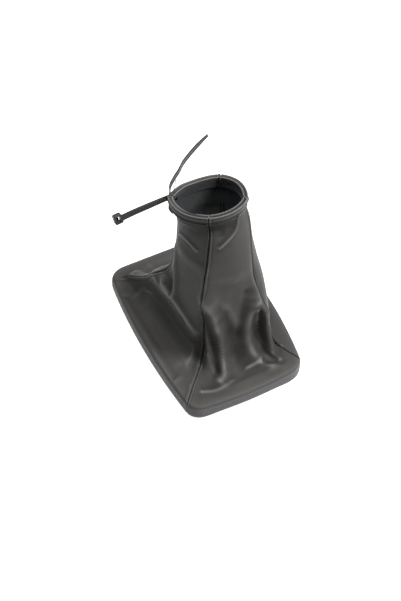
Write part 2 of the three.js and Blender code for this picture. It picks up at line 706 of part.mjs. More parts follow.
function cableTie() {
  const route = tieRoute();
  const curve = new THREE.CatmullRomCurve3(route.map(([x, y, z]) => vec(x, y, z)), false, 'centripetal');
  const leans = route.map((point) => point[3]);
  curve.arcLengthDivisions = 600;
  const length = curve.getLength();
  const hiddenFrom = wayLength(headWay) + hiddenMargin;
  const hiddenTo = length - wayLength(tailWay) - hiddenMargin;
  const stationsAlong = tieStations(length, hiddenFrom, hiddenTo);
  const half = tieThickness / 2;
  const positions = [];
  const index = [];
  for (const [at, depth] of stationsAlong) {
    const { centre, toothed, wide } = tieFrameAt(curve, leans, at / length);
    const toTip = THREE.MathUtils.clamp((length - at) / tipLength, 0, 1);
    const halfWide = (tieWidth / 2) * lerp(tipShare, 1, toTip);
    const rail = halfWide - railWidth * lerp(tipShare, 1, toTip);
    const section = [
      [-half, -halfWide], [-half, halfWide], [half, halfWide], [half, rail],
      [half - depth, rail], [half - depth, -rail], [half, -rail], [half, -halfWide],
    ];
    for (const [thin, across] of section) {
      const p = centre.clone().addScaledVector(toothed, thin).addScaledVector(wide, across);
      positions.push(p.x, p.y, p.z);
    }
  }
  const corners = 8;
  const rings = stationsAlong.length;
  for (let r = 0; r < rings - 1; r += 1) {
    for (let c = 0; c < corners; c += 1) {
      const d = (c + 1) % corners;
      index.push(r * corners + c, r * corners + d, (r + 1) * corners + d);
      index.push(r * corners + c, (r + 1) * corners + d, (r + 1) * corners + c);
    }
  }
  const cap = [[0, 1, 4], [0, 4, 5], [1, 2, 3], [1, 3, 4], [0, 5, 6], [0, 6, 7]];
  const lastRing = (rings - 1) * corners;
  for (const [a, b, c] of cap) {
    index.push(a, c, b);
    index.push(lastRing + a, lastRing + b, lastRing + c);
  }
  const strap = new THREE.BufferGeometry();
  strap.setAttribute('position', new THREE.Float32BufferAttribute(positions, 3));
  strap.setIndex(index);
  return toGeometry(toSolid(strap).add(tieHead(tieFrameAt(curve, leans, 0))));
}

// Head of the tie at the start of the strap: a rounded block with the aperture through it and a pawl
// inside. Its own axes: X away from the strap, Y across it, Z to the toothed side.
function tieHead({ centre, forward, toothed, wide }) {
  const inner = headLong - 2 * headBevel;
  const across = headWide - 2 * headBevel;
  const deep = headDeep - 2 * headBevel;
  const corners = [[0, -1], [1, -1], [1, 1], [0, 1]];
  const outline = corners.flatMap(([endX, sideY], corner) => {
    const x = headBevel + (endX ? inner - headRounding : headRounding);
    const y = sideY * (across / 2 - headRounding);
    return [0, 1, 2].map((step) => {
      const angle = Math.PI * (1 + corner / 2 + step / 4);
      return new THREE.Vector2(x + headRounding * Math.cos(angle), y + headRounding * Math.sin(angle));
    });
  });
  const block = new THREE.ExtrudeGeometry(new THREE.Shape(outline), {
    depth: deep, bevelThickness: headBevel, bevelSize: headBevel, bevelSegments: 1,
  });
  const middle = headLong / 2;
  const cut = new THREE.BoxGeometry(apertureLong, apertureWide, headDeep * 2);
  cut.translate(middle, 0, deep / 2);
  const pawl = new THREE.Shape();
  const root = middle + apertureLong / 2 + headBevel / 2;
  pawl.moveTo(root, 0);
  pawl.lineTo(root, pawlThickness + headBevel);
  pawl.lineTo(root - headBevel - pawlReach, deep * 0.75);
  pawl.lineTo(root - headBevel - pawlReach, deep * 0.75 - pawlThickness);
  pawl.closePath();
  const pawlWide = apertureWide - 2 * railWidth;
  const tongue = new THREE.ExtrudeGeometry(pawl, { depth: pawlWide, bevelEnabled: false });
  tongue.rotateX(Math.PI / 2);
  tongue.translate(0, pawlWide / 2, 0);
  const solid = toSolid(block).subtract(toSolid(cut)).add(toSolid(tongue));
  const axisX = forward.clone().negate();
  const matrix = new THREE.Matrix4().makeBasis(axisX, wide.clone().negate(), toothed);
  const lift = tieThickness / 2 + headProud - headDeep + headBevel;
  const geometry = toGeometry(solid);
  geometry.translate(-headBevel, 0, lift);
  geometry.applyMatrix4(matrix);
  geometry.translate(centre.x, centre.y, centre.z);
  return toSolid(geometry);
}

const group = new THREE.Group();

function addPiece(name, geometry, material) {
  const mesh = new THREE.Mesh(geometry, material);
  mesh.name = name;
  group.add(mesh);
}

const panelNames = ['left_panel', 'front_panel', 'right_panel', 'rear_panel'];
addPiece('frame', mouldedFrame(), frameBlack);
leatherPanels().forEach((geometry, i) => addPiece(panelNames[i], geometry, leatherBlack));
addPiece('cable_tie', cableTie(), nylonBlack);

// The part's origin is under the middle of its own box
const middle = new THREE.Box3().setFromObject(group).getCenter(vec(0, 0, 0));
group.position.set(-middle.x, -middle.y, 0);

export default group;
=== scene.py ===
"""Looks of a gear lever gaiter: sewn leather on a moulded frame, with a cable tie in its collar."""

import math

import bmesh
import bpy
import numpy as np
from bpy.props import FloatProperty, FloatVectorProperty, IntProperty, PointerProperty
from mathutils import Matrix, Vector
from mathutils.bvhtree import BVHTree


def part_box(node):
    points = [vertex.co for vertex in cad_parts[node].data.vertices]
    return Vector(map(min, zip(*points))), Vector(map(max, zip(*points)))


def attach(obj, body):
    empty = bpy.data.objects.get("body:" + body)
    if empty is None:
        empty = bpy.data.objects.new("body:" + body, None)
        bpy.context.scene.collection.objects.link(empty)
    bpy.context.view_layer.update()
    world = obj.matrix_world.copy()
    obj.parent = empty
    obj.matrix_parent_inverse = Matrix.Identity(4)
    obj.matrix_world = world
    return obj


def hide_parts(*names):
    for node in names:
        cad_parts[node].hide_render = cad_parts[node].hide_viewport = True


bl_info = {
    "name": "Gear Lever Gaiter",
    "version": (1, 0, 0),
    "blender": (4, 5, 0),
    "location": "View3D > Sidebar > Gaiter",
    "description": "Dresses the packed gaiter with leather, seams, folds, stitches and a studio",
    "category": "Object",
}

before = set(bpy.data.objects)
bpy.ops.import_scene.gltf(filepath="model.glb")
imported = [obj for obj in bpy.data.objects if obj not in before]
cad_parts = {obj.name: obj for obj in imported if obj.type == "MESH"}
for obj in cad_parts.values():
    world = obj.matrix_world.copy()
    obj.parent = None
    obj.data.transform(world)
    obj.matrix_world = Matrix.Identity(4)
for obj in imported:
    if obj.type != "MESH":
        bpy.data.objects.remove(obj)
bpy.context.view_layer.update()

MM = 0.001
PANELS = ("left_panel", "front_panel", "right_panel", "rear_panel")
FRAME_LOW, FRAME_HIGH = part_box("frame")

# The frame's right side bows out further than its left, and only its front end bows out
RIGHT_BOW = 1.6 * MM
FRONT_BOW = 2 * MM
FRAME_CENTRE = Vector((
    (FRAME_LOW.x + FRAME_HIGH.x - RIGHT_BOW) / 2, (FRAME_LOW.y + FRAME_HIGH.y + FRONT_BOW) / 2, 0))
LEATHER = 1.1 * MM
BAND_TOP = FRAME_HIGH.z + LEATHER

# Camera, from the frame's centre on the floor
CAMERA_TARGET = Vector((-18.6, -28.5, 80)) * MM
CAMERA_ELEVATION = math.radians(52)
CAMERA_AZIMUTH = math.radians(-26.5)
CAMERA_DISTANCE = 1.3
CAMERA_LENS = 98.1
CAMERA_SENSOR = 36

# Height at which the leather stops facing up and faces outwards
FACES_OUT_FROM = 14 * MM
FACES_OUT_AT = 75 * MM

# The sleeve's middle line, from the frame's centre: (x, y, z) in millimetres
SLEEVE_LINE = ((8, -2, 14), (6, -3, 80), (5, -4, 140), (2, -2, 170))

# Folds of the leather. Each has the path of its crest in millimetres from the frame's centre,
# its height, its reach to each side and the radius of its crest. A valley has a negative height.
FOLDS = {
    "front_long_ridge": (
        ((-20, -33, 83), (-18, -35, 80), (-15, -38, 73), (-12, -40, 59), (-11, -41, 46),
         (-10, -44, 30), (-10, -50, 18), (-11, -55, 14), (-13, -60, 14), (-18, -63, 14)),
        2.3, 3.4, 1.2),
    "front_long_valley": (((-14, -40, 32), (-15, -46, 18), (-16, -54, 13)), -0.6, 2.0, 0.8),
    "front_short_ridge": (((-19, -43, 24), (-19, -48, 15), (-18, -56, 13)), 0.5, 1.6, 0.6),
    "front_pool": (((-5, -39, 55), (-4, -43, 32), (-1, -45, 23), (5, -49, 15)), -0.5, 4.0, 2.0),
    "front_middle_swell": (((-9, -35, 80), (2, -36, 68), (5, -38, 56), (9, -39, 43)), 0.8, 3.5, 1.5),
    "front_middle_valley": (((21, -32, 72), (16, -37, 51), (10, -40, 34)), -1.4, 3.0, 1.0),
    "front_right_swell": (
        ((24, -34, 66), (21, -37, 53), (16, -40, 40), (16, -45, 25), (17, -52, 17), (20, -59, 13),
         (26, -67, 13)),
        2.8, 4.4, 1.4),
    "front_deep_valley": (
        ((25, -37, 47), (24, -39, 34), (26, -44, 20), (28, -53, 12), (31, -62, 11), (35, -69, 13)),
        -0.8, 2.6, 1.0),
    "front_edge_ridge": (
        ((27, -39, 52), (28, -40, 44), (29, -44, 30), (31, -50, 20), (32, -56, 13), (35, -65, 12)),
        1.7, 2.0, 0.5),
    "front_foot_ridge": (
        ((-36, -67, 14), (-26, -71, 14), (-16, -70, 14), (-4, -65, 12), (6, -61, 12), (19, -61, 13)),
        1.3, 2.0, 0.6),
    "front_collar_arc": (
        ((16, -25, 161), (14, -25, 148), (7, -26, 140), (-1, -26, 133)), 1.2, 1.5, 0.35),
    "front_collar_dimple": (((0, -25, 150), (1, -25, 147)), -1.2, 3.0, 1.5),
    "front_level_swell": (((-10, -30, 98), (11, -31, 93)), 0.7, 5.0, 3.0),
    "left_collar_crease": (
        ((-24, -2, 151), (-20, -11, 152), (-16, -17, 155), (-12, -22, 160)), 0.9, 1.2, 0.3),
    "left_neck_crease": (((-21, 3, 131), (-19, -8, 133), (-16, -16, 127)), 1.0, 1.4, 0.35),
    "left_neck_swell": (
        ((-22, 3, 116), (-21, -6, 113), (-19, -12, 110), (-15, -21, 110)), 1.2, 5.0, 2.5),
    "left_upright_ridge": (
        ((-22, 7, 110), (-25, 5, 91), (-27, 1, 68), (-29, -1, 59)), 1.5, 2.6, 0.8),
    "left_foot_ridge": (
        ((-32, 26, 51), (-32, 15, 52), (-30, 0, 57), (-29, -11, 55), (-27, -22, 50), (-25, -30, 43)),
        1.6, 3.2, 1.0),
    "left_pocket_ridge": (((-28, 18, 64), (-30, 20, 55), (-29, 6, 56)), 1.4, 2.0, 0.7),
    "left_pocket_valley": (((-27, 12, 63), (-28, 8, 60)), -1.8, 3.5, 1.5),
    "rear_lens": (((-37, 66, 19), (-19, 69, 14)), 0.8, 4.0, 1.5),
    "left_band_fill": (
        ((-37, 30, 14), (-39, 20, 12), (-39, 7, 12), (-38, -6, 12), (-38, -20, 12), (-38, -32, 14)),
        1.8, 5.0, 3.0),
    "left_hollow": (
        ((-24, 6, 146), (-21, -8, 148), (-15, -18, 150), (-9, -24, 152)), -2.6, 5.0, 2.0),
    "front_hollow": (((-7, -25, 152), (0, -26, 151), (7, -26, 152)), -1.5, 4.5, 1.5),
    "front_valley_end": (((27, -37, 60), (28, -37, 51), (27, -39, 42)), 2.2, 4.0, 1.5),
}

# Leather over the frame's walls is lighter, partly as stretched leather and partly as painted light from
# the floor's bounce: fully below the first height, and not at all above the second
STRETCH_AND_LIGHT_TO = 10.5 * MM
STRETCH_AND_LIGHT_FROM = 12.5 * MM
STRETCH_AND_LIGHT_TINT = (1.95, 1.9, 1.98)

# A fold reaches no deeper than this behind the leather that it lies on
FOLD_DEPTH = 12 * MM

# A panel's two seams: where it laps over its neighbour and where its neighbour laps over it.
# Points nearer than SEAM_SHUT to the other panel meet it, and those past SEAM_REACH stay.
SIDES = ("lap", "butt")
SEAM_SHUT = 0.6 * MM
SEAM_REACH = 1.3 * MM
HALF_WAY = 0.53

# Across a seam, in millimetres from it: the groove, the rolls on both panels and the row of stitches
GROOVE_REACH = 0.7
LAP_ROLL = 1.35
BUTT_ROLL = 1.4
ROLL_REACH = 0.8
BUTT_ROLL_SHARE = 0.35
ROW_PLACE = 2.5
ROW_REACH = 0.45

# Folds fade out between these depths under the band's top, and seams below this height
FOLDS_END = (3 * MM, 1 * MM)
SEAMS_END = 3 * MM

# Top of the hem: how far its pressed edges reach down, and the steps in which its height is found
HEM_EDGES = 4 * MM
COLLAR_BAND = 26 * MM
COLLAR_RIDGE = 0.4 * MM
COLLAR_BIN = 3

# The hem's two edges and the flat between them, told by how much the leather faces up, from 0 to 1: the
# edges at EDGE_UP, and the flat from FLAT_UP on. They rise and sink so far, in millimetres, and are
# painted so much lighter and darker: a painted highlight on the edges, and painted shade on the flat at
# the front.
EDGE_UP = 0.66
EDGE_SPREAD = 0.16
FLAT_UP = 0.78
EDGE_RISE = 0.45
FLAT_SINK = 0.8
HEM_PAINTED_LIGHT = 0.9

# The stitches draw the leather in so far outside and inside the hem, in a band of this reach, in
# millimetres
ROW_BAND = 1.7
DRAWN_OUTSIDE = -1.25
DRAWN_INSIDE = 0.3

# The inner leaf of this panel hangs slack, so far under the hem's roll. It does so between these
# distances inside the hem's middle line, and ends between these drops below the collar's top.
SLACK_PANEL = "left_panel"
LEAF_SAG = 5.5 * MM
LEAF_INSIDE = (1.6 * MM, 3.4 * MM)
LEAF_END = (5 * MM, 12 * MM)

# Edges that rise up the sleeve are cut where they are longer than this
LONG_EDGE = 11 * MM

# Most triangles of a panel. The faces inside are thinned until it is met.
MOST_TRIANGLES = 190000

# The inside of the sleeve is bare under the hem's inner leaf. The dark inside material starts so far
# below the collar's top, so it also covers the leaf's lower part, as painted shade there
LINED_AND_SHADED_FROM = 5 * MM

# The hem of this panel ends short of the seam, and its end is drawn on to the tie that leaves it.
# That fades out between these drops below the collar's top and these distances from the seam.
END_PANEL = "rear_panel"
END_REACH = 6.5 * MM
END_DROP = (4 * MM, 6.5 * MM)
END_LENGTH = (7 * MM, 18 * MM)

# This panel is soft in this box, in millimetres from the frame's centre. The softness fades in from
# the box's faces over SOFT_MARGIN, and away from the seams between the distances of SOFT_CLEAR.
SOFT_PANEL = "left_panel"
SOFT_LOW = (-54, -48, 0)
SOFT_HIGH = (-20, 52, 30)
SOFT_ROUNDS = 300
SOFT_MARGIN = 6 * MM
SOFT_CLEAR = (4 * MM, 10 * MM)

# The row of stitches in the hem: where the hem begins under the collar's top, the rays that find its
# face, and the share of a stitch that is thread
HEM_HEIGHT = 12 * MM
HEM_RAYS = 360
HEM_RAY_WIDTH = math.radians(3)
HEM_RAY_START = 80 * MM
STITCH_SHARE = 0.62
STITCH_COLOUR = (0.012, 0.012, 0.012)

# The loose end of thread stands so far round from the panel's end, along these steps in millimetres
THREAD_BACK = math.radians(19)
THREAD_END = ((0, 0, -1), (0.2, 0, 2), (0, -0.3, 5), (0.5, -0.3, 8), (1.4, 0, 11), (1.8, 0.3, 14))
THREAD_COLOUR = (0.06, 0.058, 0.055)

# Its root is nearer to the collar's top than this, and further inside the hem's middle line than this
ROOT_DROP = 2.5 * MM
ROOT_INSIDE = 0.8 * MM

# Painted shadow under the hem: the leather is darkened so far below the collar's top in millimetres,
# most on this side
HEM_SHADE = 13
HEM_SHADE_REACH = 7
HEM_SHADE_SIDE = (-0.85, -0.5)
HEM_SHADE_MARK = -1.1

# Rubbing and painted light: the leather round a point is averaged in rounds, and a crest this high is
# lightest, as rubbed leather and a painted highlight, and a crease as deep is darkest, as painted shade
CREST_ROUNDS = 14
CREST_HEIGHT = 0.35 * MM

# Share of the leather's own colour in a deep crease, as painted shade, and on a sharp crest, as rubbed
# leather and a painted highlight
CREASE_PAINTED_SHADE = 0.36
CREST_RUB_AND_HIGHLIGHT = 3.2

# Light of the studio: the point that the lamps face, the even light, and the floor's own light
LAMPS_FACE = Vector((0, 0, 0.06))
EVEN_LIGHT = 0.06
FLOOR_GLOW = 0.8


def settings():
    return bpy.context.scene.gaiter


class GaiterSizes(bpy.types.PropertyGroup):
    levels: IntProperty(
        name="Smoothing", description="Subdivision levels of the leather", default=3, min=1, max=3)
    groove_depth: FloatProperty(
        name="Seam groove", description="Depth of the groove at a seam",
        default=1.0 * MM, subtype="DISTANCE", unit="LENGTH")
    roll_height: FloatProperty(
        name="Seam roll", description="How far the turned edge stands up beside a seam",
        default=0.6 * MM, subtype="DISTANCE", unit="LENGTH")
    row_depth: FloatProperty(
        name="Stitch row", description="How deep the row of stitches beside a seam is drawn in",
        default=0.3 * MM, subtype="DISTANCE", unit="LENGTH")
    stitch_drop: FloatProperty(
        name="Stitch drop", description="Stitch row under the top of the collar",
        default=7.2 * MM, subtype="DISTANCE", unit="LENGTH")
    stitch_pitch: FloatProperty(
        name="Stitch pitch", description="Length of one stitch and its gap",
        default=3.1 * MM, subtype="DISTANCE", unit="LENGTH")
    thread: FloatProperty(
        name="Thread", description="Thickness of the sewing thread",
        default=0.55 * MM, subtype="DISTANCE", unit="LENGTH")


class GaiterColours(bpy.types.PropertyGroup):
    leather: FloatVectorProperty(
        name="Leather", description="Colour of the leather", subtype="COLOR",
        default=(0.037, 0.0359, 0.0345), min=0, max=1)
    plastic: FloatVectorProperty(
        name="Frame", description="Colour of the moulded frame", subtype="COLOR",
        default=(0.012, 0.012, 0.012), min=0, max=1)
    nylon: FloatVectorProperty(
        name="Tie", description="Colour of the cable tie", subtype="COLOR",
        default=(0.013, 0.013, 0.012), min=0, max=1)
    floor: FloatVectorProperty(
        name="Floor", description="Colour of the floor", subtype="COLOR",
        default=(0.6, 0.6, 0.6), min=0, max=1)


class GaiterSettings(bpy.types.PropertyGroup):
    sizes: PointerProperty(type=GaiterSizes)
    colours: PointerProperty(type=GaiterColours)


def from_centre(points):
    """Millimetres from the frame's centre, as an array in metres."""
    return np.array(points, float) * MM + np.array(FRAME_CENTRE)


def smoothstep(low, high, value):
    """0 below the low value, 1 above the high one, and smooth between them."""
    t = np.clip((value - low) / (high - low), 0, 1)
    return t * t * (3 - 2 * t)


def outward(points):
    """The way the leather faces at each point: up on the band, away from the sleeve's line higher up."""
    line = from_centre(SLEEVE_LINE)
    middle = np.stack([np.interp(points[:, 2], line[:, 2], line[:, axis]) for axis in (0, 1)], 1)
    level = points[:, :2] - middle
    level /= np.maximum(np.linalg.norm(level, axis=1, keepdims=True), MM)
    share = smoothstep(FACES_OUT_FROM, FACES_OUT_AT, points[:, 2])[:, None]
    way = np.hstack([level * (0.35 + 0.65 * share), 1 - share])
    return way / np.linalg.norm(way, axis=1, keepdims=True)


def distance_to_path(points, ways, path):
    """Distance along the leather from each point to a path of straight pieces.

    It is measured square to the way the leather faces, and is endless behind the leather."""
    least = np.full(len(points), np.inf)
    for start, end in zip(path[:-1], path[1:]):
        along = end - start
        share = np.clip(((points - start) @ along) / (along @ along), 0, 1)
        apart = points - start - share[:, None] * along
        deep = (apart * ways).sum(1)
        level = np.linalg.norm(apart - deep[:, None] * ways, axis=1)
        least = np.minimum(least, np.where(np.abs(deep) < FOLD_DEPTH, level, np.inf))
    return least


def fold_lift(points, ways):
    """How far the folds lift each point of the leather."""
    lift = np.zeros(len(points))
    for path, height, reach, crest in FOLDS.values():
        path = smoothed(from_centre(path))
        margin = FOLD_DEPTH + 4 * reach * MM
        near = np.all((points > path.min(0) - margin) & (points < path.max(0) + margin), axis=1)
        distance = distance_to_path(points[near], ways[near], path)
        rounded = np.sqrt(distance ** 2 + (crest * MM) ** 2) - crest * MM
        lift[near] += height * MM * np.exp(-((rounded / (reach * MM)) ** 1.5))
    return lift


def smoothed(path, rounds=2):
    """The path with its corners cut, its ends kept."""
    for _ in range(rounds):
        pairs = zip(path[:-1], path[1:])
        cut = np.concatenate([[0.75 * a + 0.25 * b, 0.25 * a + 0.75 * b] for a, b in pairs])
        path = np.vstack([path[:1], cut, path[-1:]])
    return path


def coordinates(mesh):
    points = np.empty(len(mesh.vertices) * 3, np.float32)
    mesh.vertices.foreach_get("co", points)
    return points.reshape(-1, 3).astype(float)


def store(mesh, points):
    mesh.vertices.foreach_set("co", points.astype(np.float32).ravel())
    mesh.update()


def values_of(mesh, name):
    """A point attribute of the mesh as an array."""
    values = np.empty(len(mesh.vertices), np.float32)
    mesh.attributes[name].data.foreach_get("value", values)
    return values.astype(float)


def normals_of(mesh):
    normals = np.empty(len(mesh.vertices) * 3, np.float32)
    mesh.vertex_normals.foreach_get("vector", normals)
    return normals.reshape(-1, 3).astype(float)


def linked(name, mesh, material, slot):
    """A new object in the scene. With a slot it is a visible piece of the gaiter."""
    piece = bpy.data.objects.new(name, mesh)
    bpy.context.scene.collection.objects.link(piece)
    if material:
        mesh.materials.clear()
        mesh.materials.append(material)
    if slot:
        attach(piece, "root")
    return piece


def neighbours(name):
    """The panels before and after this one. Each panel laps over the one before it."""
    place = PANELS.index(name)
    return PANELS[place - 1], PANELS[(place + 1) % len(PANELS)]


def is_rising(edge):
    """Whether the edge runs up the sleeve more than round it."""
    low, high = edge.verts
    return abs(high.co.z - low.co.z) > 0.7 * edge.calc_length()


def panel_cage(name, trees):
    """The panel's CAD shell as quads, with each point's distance from the panels beside it."""
    cage = bmesh.new()
    cage.from_mesh(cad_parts[name].data)
    bmesh.ops.remove_doubles(cage, verts=cage.verts, dist=0.01 * MM)
    bmesh.ops.join_triangles(
        cage, faces=cage.faces, angle_face_threshold=math.pi, angle_shape_threshold=math.pi)
    rising = [edge for edge in cage.edges if edge.calc_length() > LONG_EDGE and is_rising(edge)]
    bmesh.ops.subdivide_edges(cage, edges=rising, cuts=2, use_grid_fill=True)
    for side, other in zip(SIDES, neighbours(name)):
        layer = cage.verts.layers.float.new(side)
        for vert in cage.verts:
            vert[layer] = trees[other].find_nearest(vert.co)[3]
    mesh = bpy.data.meshes.new(name + "_cage")
    cage.to_mesh(mesh)
    cage.free()
    return mesh


def smooth_copy(mesh, levels):
    """The mesh after subdivision, with its point attributes."""
    holder = linked(mesh.name + "_holder", mesh, None, None)
    modifier = holder.modifiers.new("smooth", "SUBSURF")
    modifier.levels = modifier.render_levels = levels
    modifier.boundary_smooth = "PRESERVE_CORNERS"
    bpy.context.view_layer.update()
    fine = bpy.data.meshes.new_from_object(holder.evaluated_get(bpy.context.evaluated_depsgraph_get()))
    bpy.data.objects.remove(holder)
    return fine


def tree_of(mesh):
    """The mesh as a tree that finds nearest points."""
    shell = bmesh.new()
    shell.from_mesh(mesh)
    tree = BVHTree.FromBMesh(shell)
    shell.free()
    return tree


def shut_seams(mesh, trees):
    """Moves the points by a seam half way to the panel beside them."""
    points = coordinates(mesh)
    beside = np.minimum(values_of(mesh, "lap"), values_of(mesh, "butt")) < SEAM_REACH
    for i in np.flatnonzero(beside):
        place = Vector(points[i])
        spot, _, _, distance = min((tree.find_nearest(place) for tree in trees), key=lambda hit: hit[3])
        share = HALF_WAY * (1 - smoothstep(SEAM_SHUT, SEAM_REACH, distance))
        points[i] = place.lerp(spot, share)
    return points


def bell(values, middle, reach):
    """1 at the middle and next to 0 past twice the reach, both in millimetres."""
    return np.exp(-(((values - middle * MM) / (reach * MM)) ** 2))


def seam_lift(lap, butt):
    """A groove at the seam and a roll on the panel that laps over, by the distance from the seam."""
    sizes = settings().sizes
    groove = bell(lap, 0, GROOVE_REACH) + bell(butt, 0, GROOVE_REACH)
    roll = bell(lap, LAP_ROLL, ROLL_REACH) + BUTT_ROLL_SHARE * bell(butt, BUTT_ROLL, ROLL_REACH)
    row = bell(lap, ROW_PLACE, ROW_REACH)
    return roll * sizes.roll_height - groove * sizes.groove_depth - row * sizes.row_depth


def collar_places(points):
    """How far each point lies under the collar's top, and how far outside the hem's middle line."""
    middle = from_centre(SLEEVE_LINE[-1:])[0]
    level = points[:, :2] - middle[:2]
    radius = np.linalg.norm(level, axis=1)
    turn = np.degrees(np.arctan2(level[:, 1], level[:, 0]))
    high = points[:, 2] > points[:, 2].max() - COLLAR_BAND
    centres, tops, middles = [], [], []
    for centre in range(-180, 180, COLLAR_BIN):
        here = high & (np.abs(turn - centre) < COLLAR_BIN)
        if here.any():
            top = points[here, 2].max()
            ridge = here & (points[:, 2] > top - COLLAR_RIDGE)
            centres.append(centre)
            tops.append(top)
            middles.append(radius[ridge].mean())
    drop = np.interp(turn, centres, tops) - points[:, 2]
    out = radius - np.interp(turn, centres, middles)
    return drop, out, level / radius[:, None]


def shape_hem(points, normals, name, gap):
    """Presses the hem's top flat between two edges and draws the hem in at its stitches.

    The slack panel's inner leaf sags, and the end of END_PANEL, by its distance from the seam, reaches
    on to the cable tie. Moves the points, and gives each one's drop below the collar's top and how much
    light or shade is painted on it: a highlight on the hem's edges, shade on its flat at the front and a
    shadow under the hem."""
    drop, out, ways = collar_places(points)
    top = 1 - smoothstep(0.5 * HEM_EDGES, HEM_EDGES, drop)
    edge = np.exp(-(((normals[:, 2] - EDGE_UP) / EDGE_SPREAD) ** 2))
    flat = smoothstep(FLAT_UP, 1, normals[:, 2])
    points += normals * (top * MM * (EDGE_RISE * edge - FLAT_SINK * flat))[:, None]
    row = bell(drop, settings().sizes.stitch_drop / MM, ROW_BAND)
    drawn = row * np.where(out > 0, DRAWN_OUTSIDE, DRAWN_INSIDE) * MM
    points[:, :2] += ways * drawn[:, None]
    if name == END_PANEL:
        reach = END_REACH * (1 - smoothstep(*END_DROP, drop)) * (1 - smoothstep(*END_LENGTH, gap))
        points[:, 0] -= ways[:, 1] * reach
        points[:, 1] += ways[:, 0] * reach
    if name == SLACK_PANEL:
        leaf = smoothstep(*LEAF_INSIDE, -out) * (1 - smoothstep(*LEAF_END, drop))
        points[:, 2] -= LEAF_SAG * leaf
    # Painted shadow under the hem, darkest on the side given by HEM_SHADE_SIDE
    side = smoothstep(-0.35, 0.5, ways @ np.array(HEM_SHADE_SIDE))
    facing = (normals[:, :2] * ways).sum(1) > 0
    shade = HEM_SHADE_MARK * bell(drop, HEM_SHADE, HEM_SHADE_REACH) * side * facing
    # Painted highlight on the hem's edges, and painted shade on its flat at the front
    front = smoothstep(-0.2, 0.5, -ways[:, 1])
    pressed = top * (HEM_PAINTED_LIGHT * edge - HEM_PAINTED_LIGHT * flat * front)
    return drop, shade + pressed


def averaged(mesh, points, rounds):
    """The points after that many rounds of moving each half way to the middle of its neighbours."""
    edges = np.empty(len(mesh.edges) * 2, np.int32)
    mesh.edges.foreach_get("vertices", edges)
    start, end = edges.reshape(-1, 2).T
    count = np.bincount(np.r_[start, end], minlength=len(points))[:, None]
    level = points.copy()
    for _ in range(rounds):
        total = np.stack([
            np.bincount(start, level[end, axis], len(points))
            + np.bincount(end, level[start, axis], len(points))
            for axis in range(3)], 1)
        level = 0.5 * level + 0.5 * total / count
    return level


def crests(mesh, points, normals):
    """How far each point stands out of the leather round it: 1 on a sharp crest, -1 in a deep crease."""
    level = averaged(mesh, points, CREST_ROUNDS)
    return np.clip(((points - level) * normals).sum(1) / CREST_HEIGHT, -1, 1)


def softened(mesh, points):
    """The points with the long dip between the frame's edge and the sleeve's foot made soft."""
    low, high = from_centre((SOFT_LOW, SOFT_HIGH))
    near = np.minimum(points - low, high - points).min(1)
    clear = np.minimum(values_of(mesh, "lap"), values_of(mesh, "butt"))
    share = smoothstep(0, SOFT_MARGIN, near) * smoothstep(*SOFT_CLEAR, clear)
    return points + share[:, None] * (averaged(mesh, points, SOFT_ROUNDS) - points)


def node_tree(name):
    material = bpy.data.materials.new(name)
    material.use_nodes = True
    tree = material.node_tree
    return material, tree, tree.nodes["Principled BSDF"]


def add_node(tree, kind, **values):
    """A new node. Each value goes to the input of its name, or else to the node's own setting."""
    node = tree.nodes.new(kind)
    for name, value in values.items():
        if name in node.inputs:
            node.inputs[name].default_value = value
        else:
            setattr(node, name, value)
    return node


def bump(tree, height, strength, distance, below=None):
    """A bump of this height over the one below it."""
    node = add_node(tree, "ShaderNodeBump", Strength=strength, Distance=distance)
    tree.links.new(height, node.inputs["Height"])
    if below:
        tree.links.new(below.outputs["Normal"], node.inputs["Normal"])
    return node


def colour_between(tree, low, high, factor):
    """A colour between two, by a factor from 0 to 1."""
    mix = add_node(tree, "ShaderNodeMix", data_type="RGBA")
    mix.inputs["A"].default_value = (*low, 1)
    mix.inputs["B"].default_value = (*high, 1)
    tree.links.new(factor, mix.inputs["Factor"])
    return mix.outputs["Result"]


def leather_grain(tree, place):
    """Small cells and pores over a soft unevenness."""
    cells = add_node(tree, "ShaderNodeTexVoronoi", Scale=1150, feature="DISTANCE_TO_EDGE")
    pores = add_node(tree, "ShaderNodeTexNoise", Scale=2600, Detail=2)
    patches = add_node(tree, "ShaderNodeTexNoise", Scale=220, Detail=2)
    for texture in (cells, pores, patches):
        tree.links.new(place, texture.inputs["Vector"])
    grain = add_node(tree, "ShaderNodeMapRange")
    grain.inputs["From Max"].default_value = 0.25
    tree.links.new(cells.outputs["Distance"], grain.inputs["Value"])
    soft = bump(tree, patches.outputs["Fac"], 0.12, 1.2 * MM)
    fine = bump(tree, pores.outputs["Fac"], 0.25, 0.12 * MM, soft)
    return bump(tree, grain.outputs["Result"], 0.45, 0.14 * MM, fine).outputs["Normal"]


